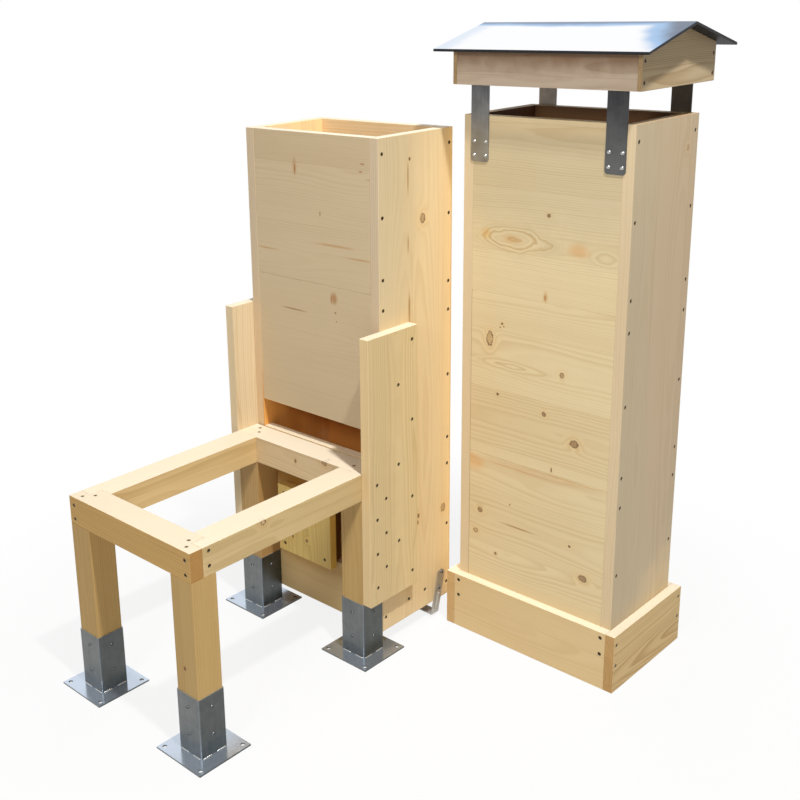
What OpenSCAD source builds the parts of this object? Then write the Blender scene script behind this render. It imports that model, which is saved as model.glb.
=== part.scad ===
// Hive stand with a flight chimney in two sections.
// A timber frame on four bolt-down post bases carries the hive. The lower chimney section hangs behind
// the frame on two cheek boards. The upper section, with its skirt and roof, stands on the floor beside it.
// Lengths are millimetres, +Z is up, and the frame's front faces -Y.

/* [Hive frame] */
// Width of the frame over its side rails
frame_w = 440; // [400:1:500]
// Depth of the frame over its front and rear rails
frame_d = 606; // [520:1:680]
// Height of the frame's top above the floor
frame_h = 505; // [480:1:560]
// Side of the square timber used for legs and rails
post = 70; // [64:1:76]

/* [Post bases] */
// Side of the square base plate
plate_w = 150; // [144:1:170]
// Thickness of the base plate
plate_t = 4; // [3:0.5:6]
// Wall thickness of the square sleeve
sleeve_t = 2; // [1.5:0.5:2.5]
// Height of the sleeve's top above the floor
sleeve_h = 153; // [130:1:170]
// Spacing of the bolt holes in the base plate, both ways
plate_pitch = 124; // [118:1:130]
// Diameter of the bolt holes in the base plate
plate_hole_d = 11; // [9:0.5:13]

/* [Chimney] */
// Thickness of the chimney boards and of the cheeks
board_t = 27; // [24:0.5:30]
// Depth of the lower chimney section
chimney_d = 276; // [250:1:320]
// Height of the lower section's bottom edge above the floor
chimney_z = 45; // [30:1:60]
// Height of the lower section's top above the floor
chimney_top = 1302; // [1200:1:1400]
// Height of the seam between the two upper front boards
seam_z = 932; // [880:1:980]
// Height of the bee slot's lower edge above the frame's top
slot_lift = 1; // [0:1:40]
// Height of the bee slot
slot_h = 77; // [40:1:90]
// Thickness of the floor inside the lower section
floor_t = 27; // [18:1:30]
// Width of a cheek board, front to back
cheek_w = 180; // [150:1:190]
// Height of the cheek boards' top above the floor
cheek_top = 847; // [780:1:870]

/* [Hatch] */
// Side of the square hatch board
hatch_w = 190; // [170:1:210]
// Distance of the hatch from the frame's left side
hatch_x = 102; // [96:1:140]
// Distance of the hatch's top below the rails
hatch_drop = 65; // [45:1:80]
// Thickness of the hatch board
hatch_t = 22; // [18:1:27]
// How far the hatch stands off its closed position
hatch_ajar = 10; // [0:1:16]
// Width of the opening left uncovered on the hatch's right
hatch_gap = 10; // [4:1:20]

/* [Upper section] */
// Height of the skirt boards
skirt_h = 150; // [130:1:170]
// Thickness of the skirt boards
skirt_t = 24; // [18:1:27]
// Depth of the skirt's socket below the upper chimney boards
socket_depth = 78; // [60:1:84]
// Height of one front or back board of the upper chimney
upper_board_h = 420; // [380:1:440]
// Gap between the lower section and the skirt's socket, each side
socket_gap = 1.5; // [1:0.5:4]
// Distance of the upper section from the lower one's right side
upper_off_x = 65; // [60:1:120]
// Distance of the upper section's front behind the lower one's front
upper_off_y = 237; // [200:1:260]

/* [Roof] */
// Clear height between the upper chimney's top and the roof frame
roof_gap = 70; // [50:1:100]
// Height of the front and back roof boards at their outer faces
roof_side_h = 85; // [70:1:110]
// Thickness of the roof boards
roof_t = 20; // [18:1:27]
// Distance of the gable boards outside the chimney's sides
gable_out = 18; // [16:1:30]
// Slope of the roof in degrees
roof_pitch = 14.8; // [8:0.1:25]
// Overhang of the roof sheet beyond the front and back boards
eave_over = 35; // [20:1:50]
// Overhang of the roof sheet beyond the gable boards
verge_over = 32; // [20:1:45]
// Thickness of the roof sheet
sheet_t = 6; // [2:0.5:8]
// Width of a roof strap
strap_w = 50; // [40:1:60]
// Thickness of a roof strap
strap_t = 2; // [1.5:0.5:3]
// Distance of a strap from the chimney's side
strap_inset = 20; // [14:1:60]
// Length of a strap below the chimney's top
strap_drop = 108; // [90:1:140]

/* [Foot brackets] */
// Width of the bracket's bar
bracket_w = 28; // [24:1:34]
// Thickness of the bracket's bar
bracket_t = 3; // [2:0.5:4]
// Length of the bracket's bar
bracket_l = 124; // [120:1:150]
// Height of the bracket's foot above the floor
bracket_z = 9; // [0:1:20]
// Forward lean of the bar's lower end in degrees
bracket_lean = 14; // [5:1:20]
// Length of the foot bent in under the chimney
bracket_foot = 42; // [30:1:60]
// Distance of the foot from the chimney's back
bracket_back = 66; // [50:1:80]

/* [Screws] */
// Diameter of a screw's shank
screw_d = 5; // [4:0.5:5]
// Diameter of a screw's head
head_d = 9; // [8:0.5:10]
// Height of a screw's head
head_h = 2.5; // [2:0.5:3]

/* [Hidden] */
$fn = 32;
// Allowance past a face that a cut runs through
cut = 1;
// Gap round a screw in its hole
screw_gap = 0.15;
// How far a countersunk head lies below the surface
head_sink = 0.4;
// Share of a raised head's width at its flat top
pan_taper = 0.65;
// Hexagon drive recess in a head
drive_d = 4;
drive_depth = 1.5;
// Lengths of the screws by use
frame_screw_l = 80;
leg_screw_l = 120;
cheek_screw_l = 50;
board_screw_l = 70;
skirt_screw_l = 60;
roof_screw_l = 40;
short_screw_l = 24;
base_screw_l = 34;
roof_strap_screw_l = 16;

// Turns from a screw that points down to one driven in from each side
UP = [0, 0, 0];
FRONT = [90, 0, 0];
BACK = [-90, 0, 0];
LEFT = [0, -90, 0];
RIGHT = [0, 90, 0];

// Colours
PINE = [0.87, 0.76, 0.58];
PINE_DARK = [0.80, 0.66, 0.45];
ZINC = [0.45, 0.47, 0.48];
STEEL = [0.36, 0.36, 0.37];
SHEET = [0.88, 0.90, 0.92];

// Post bases
sleeve_gap = 0.5;
sleeve_round = 1.5;
sleeve_out = sleeve_gap + sleeve_t;
plate_over = (plate_w - post) / 2;
base_screw_at = [0.35, 0.8];

// Frame
rail_z = frame_h - post;
lap = post / 2;
end_screw_at = [0.3, 0.8];
side_screw_at = [0.18, 0.68];
top_screw_at = [[0.43, 0.25], [0.71, 0.57]];

// Lower section
hang_gap = 0.5;
chimney_y = frame_d + sleeve_out + hang_gap;
chimney_back = chimney_y + chimney_d;
slot_z0 = frame_h + slot_lift;
slot_z1 = slot_z0 + slot_h;
lower_front_spans = [[chimney_z, slot_z0], [slot_z1, seam_z], [seam_z, chimney_top]];
lower_back_spans = thirds(chimney_z, chimney_top);
screw_edge = 37;
floor_lift = 37;
floor_z = chimney_z + floor_lift;
cheek_y = frame_d - post;
cheek_gap = 1;
cheek_z = sleeve_h + cheek_gap;
leg_zigzag_at = [0.39, 0.86];
leg_zigzag_inset = [46, 29];
chimney_zigzag_at = [0.6, 0.89];
chimney_zigzag_inset = [42, 33];
zigzag_count = 7;
zigzag_spans = [
    [cheek_z + leg_zigzag_inset[0], frame_h - leg_zigzag_inset[1]],
    [cheek_z + chimney_zigzag_inset[0], cheek_top - chimney_zigzag_inset[1]]
];
floor_screw_at = [0.38, 0.62];

// Hatch
plug_over = 10;
plug_gap = 1;
plug_seat_gap = 0.3;
plug_w = hatch_w - 2 * plug_over;
opening_w = hatch_w - plug_over + hatch_gap;
hatch_y = chimney_y - hatch_ajar - hatch_t;
hatch_z = rail_z - hatch_drop - hatch_w;
hatch_screw_edge = 22;
hatch_screw_cover = 6;
hatch_screw_l = hatch_t + board_t - hatch_screw_cover;

// Upper section
upper_w = frame_w + 2 * socket_gap;
upper_d = chimney_d + 2 * socket_gap;
upper_top = socket_depth + 3 * upper_board_h;
upper_spans = thirds(socket_depth, upper_top);
skirt_end_down = [15, 58];
skirt_side_down = [25, 80];

// Roof
roof_z = upper_top + roof_gap;
roof_y = -strap_t - roof_t;
roof_mid = upper_d / 2;
// Depth of the rebates that take the ends of the front and back roof boards
roof_lap = roof_t / 2;
strap_top_gap = 10;
strap_top = roof_z + roof_side_h - strap_top_gap;
strap_round = 8;
strap_screw_inset = 9;
strap_screw_end = 15;
strap_screw_pitch = strap_w - 2 * strap_screw_inset;
gable_screw_at = [0.2, 0.72];

// Foot bracket
bracket_y = chimney_back - bracket_back;
rib_r = 4;
rib_span = [18, 56];
bracket_screw_down = [52, 8];

// The middle of the whole part's footprint is the origin
left_reach = max(plate_over, board_t);
upper_x = frame_w + upper_off_x;
upper_y = chimney_y + upper_off_y;
total_w = left_reach + upper_x + upper_w + gable_out + verge_over;
total_d = plate_over + upper_y + upper_d - roof_y + eave_over;
stand_at = [left_reach - total_w / 2, plate_over - total_d / 2, 0];
upper_at = stand_at + [upper_x, upper_y, 0];

// A distance in from the low side (0) or the high side (1) of a span
function in_from(side, span, d) = side == 0 ? d : span - d;

// Three equal stretches of a height
function thirds(low, high) =
    let (step = (high - low) / 3) [for (i = [0:2]) [low + i * step, low + (i + 1) * step]];

// Screw heights on one board: near both edges and in the middle
function board_heights(span) = [span[0] + screw_edge, (span[0] + span[1]) / 2, span[1] - screw_edge];

// The places in a list that lie between two heights
function between(places, span) = [for (p = places) if (p[0][2] > span[0] && p[0][2] < span[1]) p];

// Underside of the roof sheet at a depth
function roof_under(y) = roof_z + roof_side_h + (roof_mid - roof_y - abs(y - roof_mid)) * tan(roof_pitch);

// Which way a screw on the left (0) or right (1) points, and on the front (0) or back (1)
function side_turn(side) = side == 0 ? LEFT : RIGHT;
function face_turn(side) = side == 0 ? FRONT : BACK;

// Screw places: each is a point on the surface, a turn and a length
frame_places = concat(
    [for (sx = [0, 1], sy = [0, 1], f = end_screw_at)
        [[in_from(sx, frame_w, lap / 2), sy * frame_d, frame_h - f * post], face_turn(sy), frame_screw_l]],
    [for (sx = [0, 1], sy = [0, 1], f = side_screw_at)
        [[sx * frame_w, in_from(sy, frame_d, post - lap / 2), frame_h - f * post],
            side_turn(sx), frame_screw_l]],
    [for (sx = [0, 1], sy = [0, 1], f = top_screw_at)
        [[in_from(sx, frame_w, f[0] * post), in_from(sy, frame_d, f[1] * post), frame_h], UP, leg_screw_l]]
);
base_places = [
    for (sx = [0, 1], sy = [0, 1], f = base_screw_at, face = [LEFT, RIGHT, FRONT, BACK])
        if (sy == 0 || face != BACK)
            [leg_middle(sx, sy) + (lap + sleeve_out) * outward(face) + [0, 0, f * sleeve_h],
                face, base_screw_l]
];
cheek_places = [
    for (side = [0, 1], i = [0:zigzag_count - 1], set = [0, 1])
        [[in_from(side, frame_w, -board_t), cheek_y + zigzag(set, i), zigzag_z(set, i)],
            side_turn(side), cheek_screw_l]
];
lower_places = concat(
    [for (side = [0, 1], span = lower_front_spans, z = board_heights(span))
        [[side * frame_w, chimney_y + board_t / 2, z], side_turn(side), board_screw_l]],
    [for (side = [0, 1], span = lower_back_spans, z = board_heights(span))
        [[side * frame_w, chimney_back - board_t / 2, z], side_turn(side), board_screw_l]],
    [for (side = [0, 1], f = floor_screw_at)
        [[side * frame_w, chimney_y + f * chimney_d, floor_z + floor_t / 2],
            side_turn(side), board_screw_l]]
);
hatch_places = [
    for (sx = [0, 1], sz = [0, 1])
        [[hatch_x, hatch_y, hatch_z]
            + [in_from(sx, hatch_w, hatch_screw_edge), 0, in_from(sz, hatch_w, hatch_screw_edge)],
            FRONT, hatch_screw_l]
];
bracket_places = [
    for (side = [0, 1], down = bracket_screw_down)
        let (s = bracket_l - down)
            [[in_from(side, frame_w, -bracket_t), bracket_y + s * sin(bracket_lean),
                bracket_z + s * cos(bracket_lean)],
                side_turn(side), short_screw_l]
];
upper_places = [
    for (sx = [0, 1], sy = [0, 1], span = upper_spans, z = board_heights(span))
        [[sx * upper_w, in_from(sy, upper_d, board_t / 2), z], side_turn(sx), board_screw_l]
];
skirt_places = concat(
    [for (sx = [0, 1], sy = [0, 1], down = skirt_end_down)
        [[in_from(sx, upper_w, board_t / 2), in_from(sy, upper_d, -skirt_t), skirt_h - down],
            face_turn(sy), skirt_screw_l]],
    [for (sx = [0, 1], sy = [0, 1], down = skirt_side_down)
        [[in_from(sx, upper_w, -skirt_t), in_from(sy, upper_d, -skirt_t / 2), skirt_h - down],
            side_turn(sx), skirt_screw_l]]
);
gable_places = [
    for (sx = [0, 1], sy = [0, 1], f = gable_screw_at)
        [[in_from(sx, upper_w, -gable_out), in_from(sy, upper_d, roof_y + roof_t / 2),
            roof_z + f * roof_side_h], side_turn(sx), roof_screw_l]
];
strap_low_places = [
    for (sx = [0, 1], sy = [0, 1], i = [0, 1], j = [0, 1])
        [[strap_screw_x(sx, i), in_from(sy, upper_d, -strap_t), upper_top - strap_drop + strap_screw_z(j)],
            face_turn(sy), short_screw_l]
];
strap_high_places = [
    for (sx = [0, 1], sy = [0, 1], i = [0, 1], j = [0, 1])
        [[strap_screw_x(sx, i), sy * upper_d, strap_top - strap_screw_z(j)],
            face_turn(1 - sy), roof_strap_screw_l]
];

// Middle of a leg in plan
function leg_middle(sx, sy) = [in_from(sx, frame_w, lap), in_from(sy, frame_d, lap), 0];

// Outward direction of a sleeve's face
function outward(face) =
    face == LEFT ? [-1, 0, 0] : face == RIGHT ? [1, 0, 0] : face == FRONT ? [0, -1, 0] : [0, 1, 0];

// Cheek screws run in two zigzags: set 0 into the leg and rail, set 1 into the chimney's side
function zigzag(set, i) = set == 0
    ? leg_zigzag_at[i % 2] * post
    : chimney_zigzag_at[(i + 1) % 2] * cheek_w;
function zigzag_z(set, i) = zigzag_spans[set][0]
    + i * (zigzag_spans[set][1] - zigzag_spans[set][0]) / (zigzag_count - 1);

// Strap screw positions across a strap, and in from its end
function strap_screw_x(sx, i) =
    in_from(sx, upper_w, strap_inset + strap_screw_inset + i * strap_screw_pitch);
function strap_screw_z(j) = strap_screw_end + j * strap_screw_pitch;

module stand() {
    translate(stand_at) children();
}

module upper() {
    translate(upper_at) children();
}

module at(place) {
    translate(place[0]) rotate(place[1]) children();
}

// Countersunk screw, its head just below the surface at z = 0 and its point downwards
module screw(length) {
    difference() {
        union() {
            translate([0, 0, -head_sink - head_h]) cylinder(d = head_d, h = head_h);
            translate([0, 0, -length]) cylinder(d = screw_d, h = length - head_sink - head_h / 2);
        }
        translate([0, 0, -head_sink - drive_depth]) cylinder(d = drive_d, h = drive_depth + cut, $fn = 6);
    }
}

// Screw with a raised head on the surface at z = 0
module pan_screw(length) {
    difference() {
        union() {
            cylinder(d1 = head_d, d2 = pan_taper * head_d, h = head_h);
            translate([0, 0, -length]) cylinder(d = screw_d, h = length + head_h / 2);
        }
        translate([0, 0, head_h - drive_depth]) cylinder(d = drive_d, h = drive_depth + cut, $fn = 6);
    }
}

module screws(places) {
    for (p = places) at(p) screw(p[2]);
}

module pan_screws(places) {
    for (p = places) at(p) pan_screw(p[2]);
}

// Stepped holes for countersunk screws
module screw_holes(places) {
    for (p = places) at(p) {
        translate([0, 0, -head_sink - head_h])
            cylinder(d = head_d + 2 * screw_gap, h = head_sink + head_h + cut);
        translate([0, 0, -p[2] - cut]) cylinder(d = screw_d + 2 * screw_gap, h = p[2]);
    }
}

// Plain holes for raised-head screws
module pan_holes(places) {
    for (p = places) at(p)
        translate([0, 0, -p[2] - cut]) cylinder(d = screw_d + 2 * screw_gap, h = p[2] + 2 * cut);
}

// Square with rounded corners, about the origin
module rounded_square(side, r) {
    square([side, side - 2 * r], center = true);
    square([side - 2 * r, side], center = true);
    for (x = [-1, 1], y = [-1, 1]) translate([x, y] * (side / 2 - r)) circle(r = r);
}

// Bolt-down base: a drilled plate with a square sleeve welded on
module post_base(sx, sy) {
    half = lap + sleeve_out;
    color(ZINC) stand() difference() {
        translate(leg_middle(sx, sy)) union() {
            translate([-plate_w / 2, -plate_w / 2, 0]) cube([plate_w, plate_w, plate_t]);
            difference() {
                translate([0, 0, plate_t / 2]) linear_extrude(sleeve_h - plate_t / 2)
                    rounded_square(2 * half, sleeve_round + sleeve_t);
                translate([0, 0, plate_t]) linear_extrude(sleeve_h)
                    rounded_square(2 * (half - sleeve_t), sleeve_round);
            }
        }
        translate(leg_middle(sx, sy)) for (x = [-1, 1], y = [-1, 1])
            translate([x * plate_pitch / 2, y * plate_pitch / 2, -cut])
                cylinder(d = plate_hole_d, h = plate_t + 2 * cut);
        pan_holes(base_places);
    }
}

module base_screws() {
    color(ZINC) stand() pan_screws(base_places);
}

module leg(sx, sy) {
    color(PINE_DARK) stand() difference() {
        translate(leg_middle(sx, sy) + [-lap, -lap, plate_t]) cube([post, post, rail_z - plate_t]);
        pan_holes(base_places);
        screw_holes(frame_places);
        screw_holes(cheek_places);
    }
}

// Front (0) or rear (1) rail: full width, rebated at both ends on its inner side
module cross_rail(side) {
    color(PINE) stand() difference() {
        translate([0, in_from(side, frame_d - post, 0), rail_z]) cube([frame_w, post, post]);
        for (sx = [0, 1])
            translate([in_from(sx, frame_w - lap - cut, -cut), in_from(side, frame_d - lap - cut, lap),
                rail_z - cut]) cube([lap + cut, lap + cut, post + 2 * cut]);
        screw_holes(frame_places);
        screw_holes(cheek_places);
    }
}

// Left (0) or right (1) rail: its outer half runs into the cross rails' rebates
module side_rail(side) {
    color(PINE) stand() difference() {
        union() {
            translate([in_from(side, frame_w - lap, 0), lap, rail_z]) cube([lap, frame_d - 2 * lap, post]);
            translate([in_from(side, frame_w - post, 0), post, rail_z])
                cube([post, frame_d - 2 * post, post]);
        }
        screw_holes(frame_places);
        screw_holes(cheek_places);
    }
}

module frame_screws() {
    color(STEEL) stand() screws(frame_places);
}

// Cheek board on the left (0) or right (1), over the rear leg and the lower chimney's side
module cheek(side) {
    color(PINE) stand() difference() {
        translate([in_from(side, frame_w, -board_t) - side * board_t, cheek_y, cheek_z])
            cube([board_t, cheek_w, cheek_top - cheek_z]);
        screw_holes(cheek_places);
    }
}

module cheek_screws() {
    color(STEEL) stand() screws(cheek_places);
}

// Side panel of the lower section, left (0) or right (1)
module lower_panel(side) {
    color(PINE) stand() difference() {
        translate([in_from(side, frame_w - board_t, 0), chimney_y, chimney_z])
            cube([board_t, chimney_d, chimney_top - chimney_z]);
        screw_holes(lower_places);
        screw_holes(cheek_places);
        pan_holes(bracket_places);
    }
}

module lower_front_board(span) {
    color(PINE) stand() difference() {
        translate([board_t, chimney_y, span[0]]) cube([frame_w - 2 * board_t, board_t, span[1] - span[0]]);
        screw_holes(between(lower_places, span));
        translate([hatch_x + plug_over, chimney_y - cut, hatch_z + plug_over])
            cube([opening_w, board_t + 2 * cut, plug_w]);
    }
}

module lower_back_board(span) {
    color(PINE) stand() difference() {
        translate([board_t, chimney_back - board_t, span[0]])
            cube([frame_w - 2 * board_t, board_t, span[1] - span[0]]);
        screw_holes(between(lower_places, span));
    }
}

module lower_floor() {
    color(PINE_DARK) stand() difference() {
        translate([board_t, chimney_y + board_t, floor_z])
            cube([frame_w - 2 * board_t, chimney_d - 2 * board_t, floor_t]);
        screw_holes(between(lower_places, [floor_z, floor_z + floor_t]));
    }
}

module lower_chimney_screws() {
    color(STEEL) stand() screws(lower_places);
}

module hatch_board() {
    color(PINE_DARK) stand() difference() {
        translate([hatch_x, hatch_y, hatch_z]) cube([hatch_w, hatch_t, hatch_w]);
        screw_holes(hatch_places);
    }
}

// Block on the hatch's back that reaches into the opening in the chimney's front
module hatch_plug() {
    color(PINE_DARK) stand() difference() {
        translate([hatch_x + plug_over + plug_gap, hatch_y + hatch_t, hatch_z + plug_over + plug_seat_gap])
            cube([plug_w - 2 * plug_gap, board_t, plug_w - plug_gap - plug_seat_gap]);
        screw_holes(hatch_places);
    }
}

module hatch_screws() {
    color(STEEL) stand() screws(hatch_places);
}

// Ribbed steel bar on the chimney's side, bent in under it
module foot_bracket(side) {
    color(ZINC) stand() difference() {
        translate([0, 0, bracket_z]) union() {
            translate([in_from(side, frame_w, -bracket_t) - side * bracket_t, bracket_y, 0])
                rotate([-bracket_lean, 0, 0]) {
                    translate([0, -bracket_w / 2, -bracket_w / 2]) cube([bracket_t, bracket_w, bracket_l]);
                    translate([0, 0, bracket_l - bracket_w / 2]) rotate(RIGHT)
                        cylinder(d = bracket_w, h = bracket_t);
                    translate([side * bracket_t, 0, rib_span[0]]) bracket_rib(side);
                }
            translate([side == 0 ? -bracket_t : frame_w - bracket_foot, bracket_y - bracket_w / 2, 0])
                cube([bracket_foot + bracket_t, bracket_w, bracket_t]);
        }
        translate([-frame_w, bracket_y - bracket_l, bracket_z - bracket_l])
            cube([3 * frame_w, 2 * bracket_l, bracket_l]);
        pan_holes(bracket_places);
    }
}

// Half-round stiffening rib that stands out of the bar's outer face
module bracket_rib(side) {
    length = rib_span[1] - rib_span[0];
    intersection() {
        union() {
            cylinder(r = rib_r, h = length);
            sphere(r = rib_r);
            translate([0, 0, length]) sphere(r = rib_r);
        }
        translate([(side - 1) * rib_r, -rib_r, -rib_r]) cube([rib_r, 2 * rib_r, length + 2 * rib_r]);
    }
}

module bracket_screws() {
    color(STEEL) stand() pan_screws(bracket_places);
}

// Side panel of the upper section, left (0) or right (1)
module upper_panel(side) {
    color(PINE) upper() difference() {
        translate([in_from(side, upper_w - board_t, 0), 0, socket_depth])
            cube([board_t, upper_d, upper_top - socket_depth]);
        screw_holes(upper_places);
        screw_holes(skirt_places);
        pan_holes(strap_low_places);
    }
}

// Front (0) or back (1) board of the upper section
module upper_board(side, span) {
    color(PINE) upper() difference() {
        translate([board_t, in_from(side, upper_d - board_t, 0), span[0]])
            cube([upper_w - 2 * board_t, board_t, span[1] - span[0]]);
        screw_holes(between(upper_places, span));
        pan_holes(between(strap_low_places, span));
    }
}

module upper_chimney_screws() {
    color(STEEL) upper() screws(upper_places);
}

// Front (0) or back (1) board of the skirt, between its side boards
module skirt_cross(side) {
    color(PINE) upper() difference() {
        translate([0, in_from(side, upper_d - skirt_t, -skirt_t), 0]) cube([upper_w, skirt_t, skirt_h]);
        screw_holes(skirt_places);
    }
}

// Left (0) or right (1) board of the skirt, over the ends of the front and back boards
module skirt_side(side) {
    color(PINE_DARK) upper() difference() {
        translate([in_from(side, upper_w - skirt_t, -skirt_t), -skirt_t, 0])
            cube([skirt_t, upper_d + 2 * skirt_t, skirt_h]);
        screw_holes(skirt_places);
    }
}

module skirt_screws() {
    color(STEEL) upper() screws(skirt_places);
}

// Flat steel strap with rounded lower corners, from the chimney's face up inside the roof frame
module strap(sx, sy) {
    bottom = upper_top - strap_drop;
    color(STEEL) upper() difference() {
        translate([in_from(sx, upper_w - strap_w, strap_inset), in_from(sy, upper_d + strap_t, 0), bottom])
            rotate(FRONT) linear_extrude(strap_t) strap_outline(strap_top - bottom);
        pan_holes(strap_low_places);
        pan_holes(strap_high_places);
    }
}

module strap_outline(length) {
    translate([strap_round, 0]) square([strap_w - 2 * strap_round, strap_round]);
    translate([0, strap_round]) square([strap_w, length - strap_round]);
    for (x = [strap_round, strap_w - strap_round]) translate([x, strap_round]) circle(r = strap_round);
}

module strap_screws() {
    color(STEEL) upper() pan_screws(concat(strap_low_places, strap_high_places));
}

// Extrude an outline drawn in depth and height along the width
module along_width(start, length) {
    translate([start, 0, 0]) rotate([90, 0, 90]) linear_extrude(length) children();
}

// Front (0) or back (1) roof board, its top bevelled to the sheet
module roof_board(side) {
    faces = [for (y = [roof_y, roof_y + roof_t]) in_from(side, upper_d, y)];
    color(PINE) upper() difference() {
        along_width(roof_lap - gable_out, upper_w + 2 * (gable_out - roof_lap)) polygon([
            [faces[0], roof_z], [faces[1], roof_z],
            [faces[1], roof_under(faces[1])], [faces[0], roof_under(faces[0])]
        ]);
        screw_holes(gable_places);
        pan_holes(strap_high_places);
    }
}

// Left (0) or right (1) gable board, its top cut to the roof's slopes and its ends rebated
module gable(side) {
    back = upper_d - roof_y;
    color(PINE) upper() difference() {
        along_width(in_from(side, upper_w - roof_t, -gable_out), roof_t) polygon([
            [roof_y, roof_z], [back, roof_z], [back, roof_under(back)],
            [roof_mid, roof_under(roof_mid)], [roof_y, roof_under(roof_y)]
        ]);
        for (sy = [0, 1])
            translate([in_from(side, upper_w - roof_lap - cut, roof_lap - gable_out),
                in_from(sy, upper_d - roof_t - cut, roof_y - cut), roof_z - cut])
                cube([roof_lap + cut, roof_t + cut, roof_under(roof_mid) - roof_z]);
        screw_holes(gable_places);
    }
}

module roof_screws() {
    color(STEEL) upper() screws(gable_places);
}

// Sheet folded along the ridge, overhanging the roof frame all round
module roof_sheet() {
    front = roof_y - eave_over;
    back = upper_d - front;
    rise = [0, sheet_t / cos(roof_pitch)];
    line = [for (y = [front, roof_mid, back]) [y, roof_under(y)]];
    color(SHEET) upper() along_width(-gable_out - verge_over, upper_w + 2 * (gable_out + verge_over))
        polygon([line[0], line[1], line[2], line[2] + rise, line[1] + rise, line[0] + rise]);
}

post_base(0, 0);  // post_base_front_left
post_base(1, 0);  // post_base_front_right
post_base(0, 1);  // post_base_rear_left
post_base(1, 1);  // post_base_rear_right
base_screws();
leg(0, 0);  // leg_front_left
leg(1, 0);  // leg_front_right
leg(0, 1);  // leg_rear_left
leg(1, 1);  // leg_rear_right
cross_rail(0);  // front_rail
cross_rail(1);  // rear_rail
side_rail(0);  // left_rail
side_rail(1);  // right_rail
frame_screws();
cheek(0);  // left_cheek
cheek(1);  // right_cheek
cheek_screws();
lower_panel(0);  // lower_left_panel
lower_panel(1);  // lower_right_panel
lower_front_board(lower_front_spans[0]);  // lower_front_board_bottom
lower_front_board(lower_front_spans[1]);  // lower_front_board_middle
lower_front_board(lower_front_spans[2]);  // lower_front_board_top
lower_back_board(lower_back_spans[0]);  // lower_back_board_bottom
lower_back_board(lower_back_spans[1]);  // lower_back_board_middle
lower_back_board(lower_back_spans[2]);  // lower_back_board_top
lower_floor();
lower_chimney_screws();
hatch_board();
hatch_plug();
hatch_screws();
foot_bracket(0);  // foot_bracket_left
foot_bracket(1);  // foot_bracket_right
bracket_screws();
upper_panel(0);  // upper_left_panel
upper_panel(1);  // upper_right_panel
upper_board(0, upper_spans[0]);  // upper_front_board_bottom
upper_board(0, upper_spans[1]);  // upper_front_board_middle
upper_board(0, upper_spans[2]);  // upper_front_board_top
upper_board(1, upper_spans[0]);  // upper_back_board_bottom
upper_board(1, upper_spans[1]);  // upper_back_board_middle
upper_board(1, upper_spans[2]);  // upper_back_board_top
upper_chimney_screws();
skirt_cross(0);  // skirt_front
skirt_cross(1);  // skirt_back
skirt_side(0);  // skirt_left
skirt_side(1);  // skirt_right
skirt_screws();
strap(0, 0);  // strap_front_left
strap(1, 0);  // strap_front_right
strap(0, 1);  // strap_back_left
strap(1, 1);  // strap_back_right
strap_screws();
roof_board(0);  // roof_front_board
roof_board(1);  // roof_back_board
gable(0);  // left_gable
gable(1);  // right_gable
roof_screws();
roof_sheet();
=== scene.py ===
"""Hive stand with a flight chimney: the finish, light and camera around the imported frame."""

import math

import bmesh
import bpy
from mathutils import Matrix, Vector


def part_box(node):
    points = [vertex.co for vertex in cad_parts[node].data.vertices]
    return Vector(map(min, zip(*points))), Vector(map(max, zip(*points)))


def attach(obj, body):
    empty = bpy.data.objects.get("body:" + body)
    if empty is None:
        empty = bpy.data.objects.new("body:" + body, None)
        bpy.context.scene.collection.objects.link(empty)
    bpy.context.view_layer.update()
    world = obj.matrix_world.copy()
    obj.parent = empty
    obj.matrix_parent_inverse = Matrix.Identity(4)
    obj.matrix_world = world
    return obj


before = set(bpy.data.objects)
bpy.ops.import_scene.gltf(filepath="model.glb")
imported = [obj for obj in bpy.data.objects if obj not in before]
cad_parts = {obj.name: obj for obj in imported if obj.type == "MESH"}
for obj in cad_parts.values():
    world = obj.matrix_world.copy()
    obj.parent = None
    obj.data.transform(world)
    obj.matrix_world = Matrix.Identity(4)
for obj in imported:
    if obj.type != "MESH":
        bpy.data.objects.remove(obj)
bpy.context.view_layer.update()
MM = 0.001
WHITE = (1.0, 1.0, 1.0, 1.0)
UP = Vector((0.0, 0.0, 1.0))
OUTWARD = [Vector(way) for way in ((1.0, 0.0, 0.0), (0.0, 1.0, 0.0), (-1.0, 0.0, 0.0), (0.0, -1.0, 0.0))]
AXES = {"X": 0, "Y": 1, "Z": 2}
HEIGHTS = ("bottom", "middle", "top")
CORNERS = ("front_left", "front_right", "rear_left", "rear_right")
STRAPS = ("front_left", "front_right", "back_left", "back_right")
BRACKETS = ("foot_bracket_left", "foot_bracket_right")

# Camera, solved from the photograph's corners
IMAGE_SIDE = 800
FOCAL_PIXELS = 1133.2
AXIS_PIXEL = (301.0, 318.3)
SENSOR_MM = 36.0
CAMERA_AT = Vector((1.6532, -1.8993, 1.6204))
CAMERA_AZIMUTH = math.radians(45.26)
CAMERA_ELEVATION = math.radians(15.97)
CAMERA_ROLL = math.radians(-1.73)

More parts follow.
